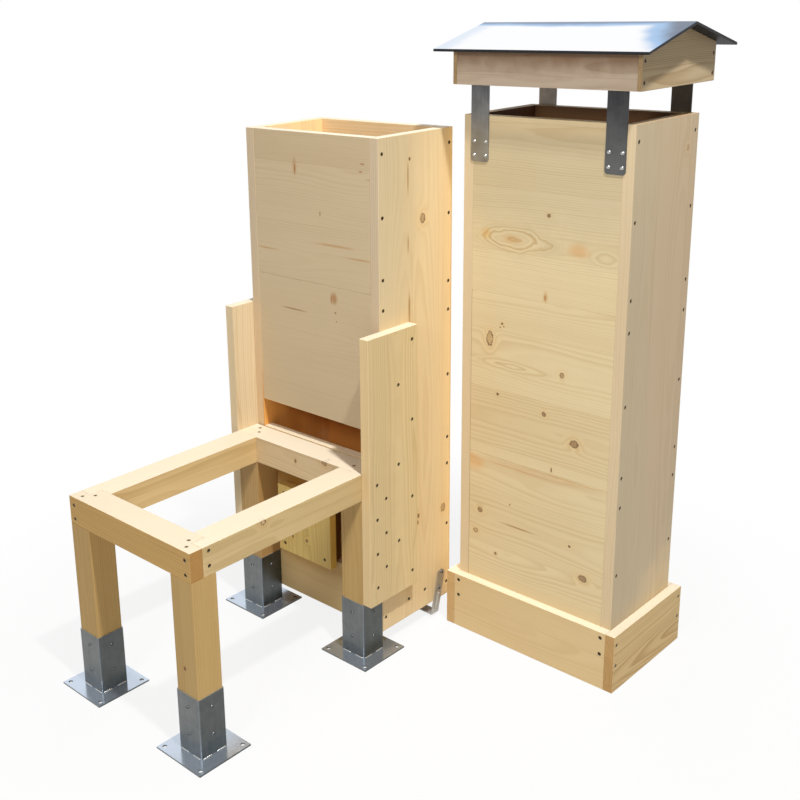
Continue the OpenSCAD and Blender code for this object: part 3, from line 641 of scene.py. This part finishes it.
def wood(node, grain, across, kind, marks=NO_MARKS, end_tint=END_MILD, tints=(), pale_top=False):
    """Pine for one board. Its marks are placed from the board's low corner, along and across the grain.

    Faces that look along a given axis and direction can take a painted light or shade of their own, and the
    faces that look up a painted light that makes them paler.
    """
    material, t = new_material("pine_" + node)
    pale, deep, strip, contrast = WOODS[kind]
    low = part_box(node)[0]
    seed = (sum(ord(letter) * (i + 1) for i, letter in enumerate(node)) % SEED_COUNT) / SEED_COUNT
    thick = next(axis for axis in AXES if axis not in (grain, across))
    order = [AXES[axis] for axis in (grain, across, thick)]
    coordinates = t.node("ShaderNodeTexCoord").outputs
    place = coordinates["Object"]
    here = t.split(place)
    on_board = t.join(*[t.math("SUBTRACT", here[axis], low[axis]) for axis in order])
    wobble = t.spread(t.noise(place, *WOBBLE_NOISE), WOBBLE)
    sway = t.spread(t.noise(place, *SWAY_NOISE), SWAY)

    def spot(middle, half, shape, unrest):
        inputs = {"Place": on_board, "Middle": middle, "Half": half, "Shape": shape, "Wobble": unrest}
        return t.group(SPOT, inputs)["Distance"]

    knots = [
        (spot(middle, half, ROUND_SHAPE, wobble), min(half), *look) for middle, half, *look in marks["knots"]
    ]
    pushes = [t.times(t.bell(distance, PUSH_FALL), radius) for distance, radius, *_ in knots]
    nears = []
    bands = []
    for middle, half, rings in marks["figures"]:
        distance = spot(middle, half, FIGURE_SHAPE, sway)
        nears.append(t.smooth(distance, *FIGURE_EDGE))
        bands.append(t.math("MULTIPLY", t.times(distance, rings), nears[-1]))
    inputs = {
        "Grain": on_board, "Seed": seed, "Strip": strip * MM, "Pale": (*pale, 1.0), "Deep": (*deep, 1.0),
        "Push": t.total(0.0, *pushes), "Figure": t.total(0.0, *bands), "Figure Share": t.total(0.0, *nears),
        "Contrast": contrast,
    }
    pine = t.group(PINE, inputs)
    colour = pine["Color"]
    for middle, half, tint in marks["stains_and_shading"]:
        share = t.smooth(spot(middle, half, ROUND_SHAPE, sway), *STAIN_EDGE)
        colour = t.mix(share, colour, tint, "MULTIPLY")
    colour = with_knots(t, colour, knots, place)
    facing = t.split(coordinates["Normal"])
    end = t.smooth(t.math("ABSOLUTE", facing[AXES[grain]]), *END_FACING)
    colour = t.mix(end, colour, end_tint, "MULTIPLY")
    for axis, direction, tint in tints:
        share = t.smooth(t.times(facing[AXES[axis]], direction), *FACING)
        colour = t.mix(share, colour, tint, "MULTIPLY")
    if pale_top:
        colour = t.mix(t.smooth(facing[AXES["Z"]], *FACING, 0.0, TOP_LIGHT_SHARE), colour, TOP_LIGHT)
    height = pine["Height"]
    surface(t, colour, t.times(height, *WOOD_ROUGH), height, WOOD_BUMP, specular=WOOD_SPECULAR)
    return material


def galvanised():
    """Zinc coating: a faint spangle and streaks, dull on the sleeves and polished on the flat plates. Painted
    shade darkens the faces that look along +X, and painted light makes the faces that look up and the rounded
    corners pale.
    """
    material, t = new_material("galvanised_steel")
    coordinates = t.node("ShaderNodeTexCoord").outputs
    place = coordinates["Object"]
    cells = t.node("ShaderNodeTexVoronoi", {"Vector": place, "Scale": SPANGLE_SCALE, "Randomness": 1.0})
    spangle = t.split(cells.outputs["Color"])[0]
    cloud = t.noise(place, *ZINC_CLOUD)
    streak = t.streaks(t.split(place), ZINC_STREAKS)
    share = t.total(
        t.times(spangle, SPANGLE_SHARE), t.times(cloud, *ZINC_CLOUD_SHARE),
        t.times(streak, *ZINC_STREAK_SHARE),
    )
    colour = t.mix(t.clamp(share), ZINC_DARK, ZINC_LIGHT)
    facing_x, facing_y, facing_z = t.split(coordinates["Normal"])
    colour = t.mix(t.smooth(facing_x, *FACING), colour, SLEEVE_SHADE, "MULTIPLY")
    corner = t.smooth(t.math("ABSOLUTE", t.math("MULTIPLY", facing_x, facing_y)), *CORNER_LIGHT)
    upward = t.smooth(facing_z, *FACING)
    colour = t.mix(t.math("MAXIMUM", upward, corner), colour, PLATE_LIGHT)
    roughness = t.total(
        t.times(cloud, ZINC_ROUGH_CLOUD), t.times(spangle, ZINC_ROUGH_SPANGLE),
        t.times(upward, -PLATE_POLISH, ZINC_ROUGH),
    )
    metallic = t.times(upward, -PLATE_DULL, 1.0)
    surface(t, colour, roughness, t.math("ADD", cloud, spangle), ZINC_BUMP, metallic=metallic)
    return material


def strip_steel(name, low, high, metallic=1.0):
    """Rolled strip: a painted shade darkens it towards the height high, and it is brighter towards low, with
    fine rolling lines.
    """
    material, t = new_material("strap_steel_" + name)
    dark, light = STEEL_LIT_AND_SHADED_TONES[name]
    place = t.node("ShaderNodeTexCoord").outputs["Object"]
    parts = t.split(place)
    lines = t.streaks(parts, STEEL_LINES)
    cloud = t.noise(place, *STEEL_CLOUD)
    shade_fade = t.smooth(parts[AXES["Z"]], low, high, SHADE_FADE_SHARE, 0.0)
    share = t.total(shade_fade, t.times(cloud, *STEEL_CLOUD_SHARE), t.spread(lines, LINE_SPREAD))
    colour = t.mix(t.clamp(share), dark, light)
    surface(t, colour, t.times(cloud, *STEEL_ROUGH), lines, STEEL_BUMP, metallic=metallic)
    return material


def roof_metal(low, high):
    """Bright rolled skin over a dark core. A painted reflection of the sky darkens it to blue along the ridge
    and the right end, and tints the left end.
    """
    material, t = new_material("roof_metal")
    coordinates = t.node("ShaderNodeTexCoord").outputs
    place = coordinates["Object"]
    x, y, z = t.split(place)
    lines = t.streaks((x, y, z), SHEET_LINES)
    cloud = t.noise(place, *SHEET_CLOUD)
    along = t.math("DIVIDE", t.math("SUBTRACT", x, low.x), high.x - low.x)
    middle = (low.y + high.y) / 2
    down = t.math("DIVIDE", t.math("ABSOLUTE", t.math("SUBTRACT", y, middle)), high.y - middle)
    climb = t.math("SUBTRACT", 1.0, down)
    unrest = t.spread(cloud, SHEET_UNREST)
    right = t.smooth(t.total(along, t.times(climb, RIGHT_LEAN), unrest), *RIGHT_CAST)
    ridge = t.smooth(t.math("ADD", climb, unrest), *RIDGE_CAST)
    left = t.smooth(t.math("ADD", along, unrest), *LEFT_CAST)
    painted_reflection = t.math("MAXIMUM", t.math("MAXIMUM", right, ridge), left)
    colour = t.mix(t.smooth(painted_reflection, *SKY_RISE), SHEET_BRIGHT, SHEET_SKY_REFLECTION)
    colour = t.mix(t.smooth(painted_reflection, *BLUE_RISE), colour, SHEET_BLUE_REFLECTION)
    upward = t.smooth(t.split(coordinates["Normal"])[AXES["Z"]], *FACING)
    colour = t.mix(upward, SHEET_CORE, colour)
    roughness = t.total(t.times(cloud, SHEET_ROUGH_CLOUD), t.times(upward, -SKIN_POLISH, CORE_ROUGH))
    height = t.times(lines, LINE_HEIGHT, cloud)
    surface(t, colour, roughness, height, SHEET_BUMP, metallic=upward, specular=SHEET_SPECULAR)
    return material


def screw_metal(name, colour, roughness, top=None):
    """Plated steel with a little tarnish. top is a painted light on the faces that look up."""
    material, t = new_material(name)
    coordinates = t.node("ShaderNodeTexCoord").outputs
    tarnish = t.noise(coordinates["Object"], *TARNISH_NOISE)
    red, green, blue, _ = colour
    dull = (TARNISH_TONE * red, TARNISH_TONE * green, TARNISH_TONE * blue, 1.0)
    shade = t.mix(tarnish, colour, dull)
    if top:
        upward = t.split(coordinates["Normal"])[AXES["Z"]]
        shade = t.mix(t.smooth(upward, *FACING, 0.0, TOP_LIGHT_SHARE), shade, top)
    surface(t, shade, t.times(tarnish, TARNISH_ROUGH, roughness), tarnish, SCREW_BUMP, metallic=1.0)
    return material


def marks_on(node, grain, across, start, knots=(), figures=(), stains_and_shading=(), depth=THROUGH):
    """The marks of a face that fall on one board, placed from the board's own low corner.

    start is where the face begins along the floor. Half sizes of figures, stains and painted light and shade
    are given along the floor and up. depth is the middle and half size of all the marks in the board's
    thickness.
    """
    low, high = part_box(node)
    flat = next(axis for axis in (grain, across) if axis != "Z")
    at_depth, half_depth = depth

    def spot(x, z):
        found = {flat: start + x * MM - low[AXES[flat]], "Z": z * MM - low.z}
        return found[grain], found[across], at_depth

    def half(wide, tall):
        found = {flat: wide * MM, "Z": tall * MM}
        return found[grain], found[across], half_depth

    def here(mark):
        return low.z <= mark[1] * MM < high.z

    return {
        "knots": [
            (spot(x, z), (radius * stretch * MM, radius * MM, half_depth), *look)
            for x, z, radius, stretch, *look in filter(here, knots)
        ],
        "figures": [
            (spot(x, z), half(wide, tall), rings) for x, z, wide, tall, rings in filter(here, figures)
        ],
        "stains_and_shading": [
            (spot(x, z), half(wide, tall), tint) for x, z, wide, tall, tint in filter(here, stains_and_shading)
        ],
    }


def soften(node, width):
    """Round a CAD node's long sharp edges, so that they catch the light.

    Its faces share no corners there, so those that meet at an edge are found by where the edge's ends are.
    """
    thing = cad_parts[node]
    mesh = thing.data
    if mesh.attributes.get("custom_normal"):
        mesh.attributes.remove(mesh.attributes["custom_normal"])
    mesh.shade_flat()
    spots = [tuple(round(part, SAME_SPOT_DIGITS) for part in vertex.co) for vertex in mesh.vertices]
    beside = {}
    for face in mesh.polygons:
        for pair in face.edge_keys:
            beside.setdefault(frozenset(spots[i] for i in pair), []).append(face.normal)
    weights = mesh.attributes.new("bevel_weight_edge", "FLOAT", "EDGE")
    for edge in mesh.edges:
        ends = [mesh.vertices[i].co for i in edge.vertices]
        normals = beside[frozenset(spots[i] for i in edge.vertices)]
        sharp = len(normals) == 2 and normals[0].dot(normals[1]) < SHARP
        weights.data[edge.index].value = float(sharp and (ends[0] - ends[1]).length > SHORT_EDGE)
    weld = thing.modifiers.new("weld", "WELD")
    weld.merge_threshold = WELD_DISTANCE
    bevel = thing.modifiers.new("edges", "BEVEL")
    bevel.width = width
    bevel.segments = EDGE_SEGMENTS
    bevel.limit_method = "WEIGHT"


def clear_slivers(node):
    """Collapse a CAD node's edges that have next to no length, so that its mesh is closed."""
    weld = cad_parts[node].modifiers.new("weld", "WELD")
    weld.mode = "CONNECTED"
    weld.merge_threshold = WELD_DISTANCE


def dress(node, material):
    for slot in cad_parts[node].material_slots:
        slot.material = material


def dress_board(node, grain, across, kind, **extras):
    dress(node, wood(node, grain, across, kind, **extras))
    soften(node, WOOD_EDGE)


def dress_plain_boards():
    for nodes, grain, across, kind, extras in PLAIN_BOARDS:
        for node in nodes:
            dress_board(node, grain, across, kind, **extras)


def dress_stand():
    """The marked timbers of the frame, the right cheek and the hatch."""
    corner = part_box("front_rail")[0]
    marks = marks_on("right_rail", "Y", "Z", corner.y, SIDE_RAIL_KNOTS, depth=SIDE_RAIL_DEPTH)
    dress_board("right_rail", "Y", "Z", "side_rail", marks=marks, pale_top=True)
    marks = marks_on("rear_rail", "X", "Z", corner.x, REAR_RAIL_KNOTS, depth=REAR_RAIL_DEPTH)
    dress_board("rear_rail", "X", "Z", "rear_rail", marks=marks, pale_top=True)
    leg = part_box("leg_front_right")[0]
    marks = marks_on("leg_front_right", "Z", "X", leg.x, LEG_KNOTS, depth=LEG_DEPTH)
    dress_board("leg_front_right", "Z", "X", "leg", marks=marks)
    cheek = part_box("right_cheek")[0]
    marks = marks_on("right_cheek", "Z", "Y", cheek.y, stains_and_shading=CHEEK_PAINTED_LIGHT)
    dress_board("right_cheek", "Z", "Y", "cheek", marks=marks, tints=[("Y", -1.0, CHEEK_EDGE_LIGHT)], pale_top=True)
    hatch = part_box("hatch_board")[0]
    knots = [(x, z + hatch.z / MM, *look) for x, z, *look in HATCH_KNOTS]
    marks = marks_on("hatch_board", "Z", "X", hatch.x, knots)
    dress_board("hatch_board", "Z", "X", "hatch", marks=marks, tints=[("X", 1.0, HATCH_SIDE_LIGHT)])


def dress_lower_section():
    """The front boards and side panels of the lower chimney section."""
    low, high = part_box("lower_left_panel")
    for height in HEIGHTS:
        board = "lower_front_board_" + height
        kind = "lower_foot" if height == "bottom" else "lower_front"
        marks = marks_on(board, "X", "Z", low.x, LOWER_FRONT_KNOTS, stains_and_shading=LOWER_FRONT_STAINS_AND_SHADE)
        dress_board(board, "X", "Z", kind, marks=marks, pale_top=height != "middle")
    inner_faces = [("lower_left_panel", 1.0, high.x - low.x), ("lower_right_panel", -1.0, 0.0)]
    for panel, inward, inner_face in inner_faces:
        marks = marks_on(panel, "Z", "Y", low.y, LOWER_SIDE_KNOTS, stains_and_shading=LOWER_SIDE_STAINS_AND_SHADE)
        inside = marks_on(panel, "Z", "Y", low.y, stains_and_shading=SLOT_SHADE_MARKS, depth=(inner_face, INNER_SKIN))
        marks["stains_and_shading"] += inside["stains_and_shading"]
        tints = [("X", inward, INSIDE_LIGHT), ("Y", -1.0, LOWER_EDGE_SHADE)]
        dress_board(panel, "Z", "Y", "lower_side", marks=marks, tints=tints, pale_top=True)


def dress_upper_section():
    """The front boards and side panels of the upper chimney section, and the shaded board under its eave."""
    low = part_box("upper_left_panel")[0]
    for height in HEIGHTS:
        board = "upper_front_board_" + height
        marks = marks_on(board, "X", "Z", low.x, UPPER_FRONT_KNOTS, UPPER_FRONT_FIGURES, UPPER_FRONT_STAINS_AND_LIGHT)
        dress_board(board, "X", "Z", "upper_front", marks=marks, tints=[("Y", 1.0, INSIDE_SHADE)])
    for panel, inward in (("upper_left_panel", 1.0), ("upper_right_panel", -1.0)):
        marks = marks_on(panel, "Z", "Y", low.y, UPPER_SIDE_KNOTS, stains_and_shading=UPPER_SIDE_ROSE_AND_LIGHT)
        tints = [("X", inward, INSIDE_SHADE), ("Y", -1.0, UPPER_EDGE_LIGHT)]
        dress_board(panel, "Z", "Y", "upper_side", marks=marks, tints=tints)
    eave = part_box("roof_front_board")[1].z / MM - EAVE_DOWN
    shade = [(EAVE_MIDDLE, eave, EAVE_LONG, EAVE_TALL, EAVE_SHADE)]
    marks = marks_on("roof_front_board", "X", "Z", low.x, stains_and_shading=shade)
    dress_board("roof_front_board", "X", "Z", "roof_front", marks=marks)


def dress_metal():
    zinc = galvanised()
    for corner in CORNERS:
        dress("post_base_" + corner, zinc)
    low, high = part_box(BRACKETS[0])
    bracket_steel = strip_steel("bracket", low.z, high.z, BRACKET_METALLIC)
    for bracket in BRACKETS:
        dress(bracket, bracket_steel)
        clear_slivers(bracket)
    for strap in STRAPS:
        low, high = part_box("strap_" + strap)
        dress("strap_" + strap, strip_steel(strap, low.z + STRAP_FADE[0], high.z - STRAP_FADE[1]))
    dress("roof_sheet", roof_metal(*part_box("roof_sheet")))
    soften("roof_sheet", SHEET_EDGE)
    dark = screw_metal("screw_dark", SCREW_DARK, DARK_ROUGH, SCREW_TOP_LIGHT)
    bright = screw_metal("screw_bright", SCREW_BRIGHT, BRIGHT_ROUGH)
    dull = screw_metal("screw_dull", SCREW_DULL, DULL_ROUGH)
    coats = {"strap_screws": bright, "bracket_screws": dull, "base_screws": dull}
    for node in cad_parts:
        if node.endswith("screws"):
            dress(node, coats.get(node, dark))


def weld_bead(shape, start, run, out):
    """A rippled fillet from start along run, between the plate and the wall that faces out."""
    rings = []
    for i in range(BEAD_STEPS + 1):
        share = i / BEAD_STEPS
        ripple = abs(math.sin(math.pi * share * BEAD_LENGTH / BEAD_RIPPLE))
        end = math.sqrt(1.0 - (BEAD_BLUNT * (2.0 * share - 1.0)) ** BEAD_END_POWER)
        radius = BEAD_RADIUS * end * (1.0 - BEAD_RIPPLE_DEPTH * (1.0 - ripple))
        middle = start + run * (share * BEAD_LENGTH)
        ring = [shape.verts.new(middle - (UP + out) * BEAD_SINK)]
        for k in range(BEAD_SIDES + 1):
            turn = math.pi / 2 * k / BEAD_SIDES
            spoke = out * (radius * math.cos(turn)) + UP * (radius * math.sin(turn))
            ring.append(shape.verts.new(middle + spoke))
        rings.append(ring)
    for first, second in zip(rings, rings[1:]):
        for k in range(len(first)):
            following = (k + 1) % len(first)
            shape.faces.new((first[k], first[following], second[following], second[k]))
    shape.faces.new(reversed(rings[0]))
    shape.faces.new(rings[-1])


def add_welds():
    """Weld beads along the foot of each sleeve, one near each end of every side."""
    bright = screw_metal("weld_zinc", SCREW_BRIGHT, WELD_ROUGH)
    for corner in CORNERS:
        low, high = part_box("leg_" + corner)
        middle = (low + high) / 2
        reach = (high.x - low.x) / 2 + SLEEVE_OUT
        shape = bmesh.new()
        for out in OUTWARD:
            run = Vector((-out.y, out.x, 0.0))
            foot = Vector((middle.x, middle.y, PLATE_TOP)) + out * reach
            weld_bead(shape, foot - run * (reach - BEAD_INSET), run, out)
            weld_bead(shape, foot + run * (reach - BEAD_INSET - BEAD_LENGTH), run, out)
        bmesh.ops.recalc_face_normals(shape, faces=shape.faces)
        mesh = bpy.data.meshes.new("weld_" + corner)
        shape.to_mesh(mesh)
        shape.free()
        mesh.shade_smooth()
        mesh.materials.append(bright)
        bead = bpy.data.objects.new("weld_" + corner, mesh)
        bpy.context.scene.collection.objects.link(bead)
        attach(bead, "stand")


def seen_rays(t):
    """1 for what the camera sees, straight on or in a mirror, and 0 for what only lights the part."""
    rays = t.node("ShaderNodeLightPath").outputs
    mirrored = t.math("MAXIMUM", rays["Is Glossy Ray"], rays["Is Transmission Ray"])
    return t.math("MAXIMUM", rays["Is Camera Ray"], mirrored)


def under_plates(t, place):
    """1 on the patches of floor under the four base plates, and 0 beside them."""
    boxes = [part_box("post_base_" + corner) for corner in ("front_left", "rear_right")]
    first, last = [(low + high) / 2 for low, high in boxes]
    middle = (first + last) / 2
    half = (last - first) / 2
    parts = t.split(place)
    beside = []
    for axis in (AXES["X"], AXES["Y"]):
        from_middle = t.math("ABSOLUTE", t.math("SUBTRACT", parts[axis], middle[axis]))
        beside.append(t.math("ABSOLUTE", t.math("SUBTRACT", from_middle, half[axis])))
    return t.math("LESS_THAN", t.math("MAXIMUM", *beside), PLATE_SHADE)


def make_floor():
    """A pale floor that keeps the part's shadow and turns white away from it."""
    bpy.ops.mesh.primitive_plane_add(size=FLOOR_SIDE)
    floor = bpy.context.object
    floor.name = "floor"
    material, t = new_material("floor")
    place = t.node("ShaderNodeTexCoord").outputs["Object"]
    glow = t.smooth(t.length(place), *FLOOR_FADE, FLOOR_GLOW, 1.0)
    glow = t.math("MULTIPLY", glow, t.math("SUBTRACT", 1.0, under_plates(t, place)))
    share = t.math("MULTIPLY", seen_rays(t), glow)
    plain = t.node("ShaderNodeBsdfDiffuse", {"Color": FLOOR_COLOUR}).outputs[0]
    white = t.node("ShaderNodeEmission", {"Color": WHITE, "Strength": 1.0}).outputs[0]
    blend = t.node("ShaderNodeMixShader", {0: share, 1: plain, 2: white}).outputs[0]
    t.tree.links.new(blend, t.node("ShaderNodeOutputMaterial").inputs["Surface"])
    floor.data.materials.append(material)


def make_world():
    """A white backdrop that gives only a soft light."""
    world = bpy.data.worlds.new("studio")
    bpy.context.scene.world = world
    world.use_nodes = True
    t = Tree(world.node_tree)
    soft = t.node("ShaderNodeBackground", {"Color": WHITE, "Strength": AMBIENT}).outputs[0]
    white = t.node("ShaderNodeBackground", {"Color": WHITE, "Strength": 1.0}).outputs[0]
    blend = t.node("ShaderNodeMixShader", {0: seen_rays(t), 1: soft, 2: white}).outputs[0]
    t.tree.links.new(blend, t.node("ShaderNodeOutputWorld").inputs["Surface"])


def add_light(name, at, size, watts, aim=LIGHT_AIM, colour=WHITE[:3], hidden=False):
    """An area lamp. A hidden one lights the object but isn't seen, in a mirror neither."""
    data = bpy.data.lights.new(name, "AREA")
    data.shape = "RECTANGLE"
    data.size, data.size_y = size
    data.energy = watts
    data.color = colour
    lamp = bpy.data.objects.new(name, data)
    lamp.location = at
    lamp.visible_camera = not hidden
    lamp.visible_glossy = not hidden
    lamp.rotation_euler = (aim - at).to_track_quat("-Z", "Y").to_euler()
    bpy.context.scene.collection.objects.link(lamp)


def make_camera():
    data = bpy.data.cameras.new("camera")
    data.sensor_width = SENSOR_MM
    data.lens = SENSOR_MM * FOCAL_PIXELS / IMAGE_SIDE
    data.shift_x = (IMAGE_SIDE / 2 - AXIS_PIXEL[0]) / IMAGE_SIDE
    data.shift_y = (AXIS_PIXEL[1] - IMAGE_SIDE / 2) / IMAGE_SIDE
    camera = bpy.data.objects.new("camera", data)
    level = math.cos(CAMERA_ELEVATION)
    back = Vector((
        math.sin(CAMERA_AZIMUTH) * level, -math.cos(CAMERA_AZIMUTH) * level, math.sin(CAMERA_ELEVATION)
    ))
    right = Vector((math.cos(CAMERA_AZIMUTH), math.sin(CAMERA_AZIMUTH), 0.0))
    up = back.cross(right)
    tilted_right = right * math.cos(CAMERA_ROLL) + up * math.sin(CAMERA_ROLL)
    tilted_up = up * math.cos(CAMERA_ROLL) - right * math.sin(CAMERA_ROLL)
    turn = Matrix((tilted_right, tilted_up, back)).transposed().to_4x4()
    camera.matrix_world = Matrix.Translation(CAMERA_AT) @ turn
    bpy.context.scene.collection.objects.link(camera)
    bpy.context.scene.camera = camera


make_camera()
make_floor()
make_world()
add_light("key", KEY_AT, KEY_SIZE, KEY_WATTS)
add_light("fill", FILL_AT, FILL_SIZE, FILL_WATTS)
add_light("back", BACK_AT, BACK_SIZE, BACK_WATTS, hidden=True)
add_light("glow", GLOW_AT, GLOW_SIZE, GLOW_WATTS, GLOW_AIM, GLOW_COLOUR, hidden=True)
dress_plain_boards()
dress_stand()
dress_lower_section()
dress_upper_section()
dress_metal()
add_welds()
bpy.context.scene.view_settings.view_transform = "Standard"
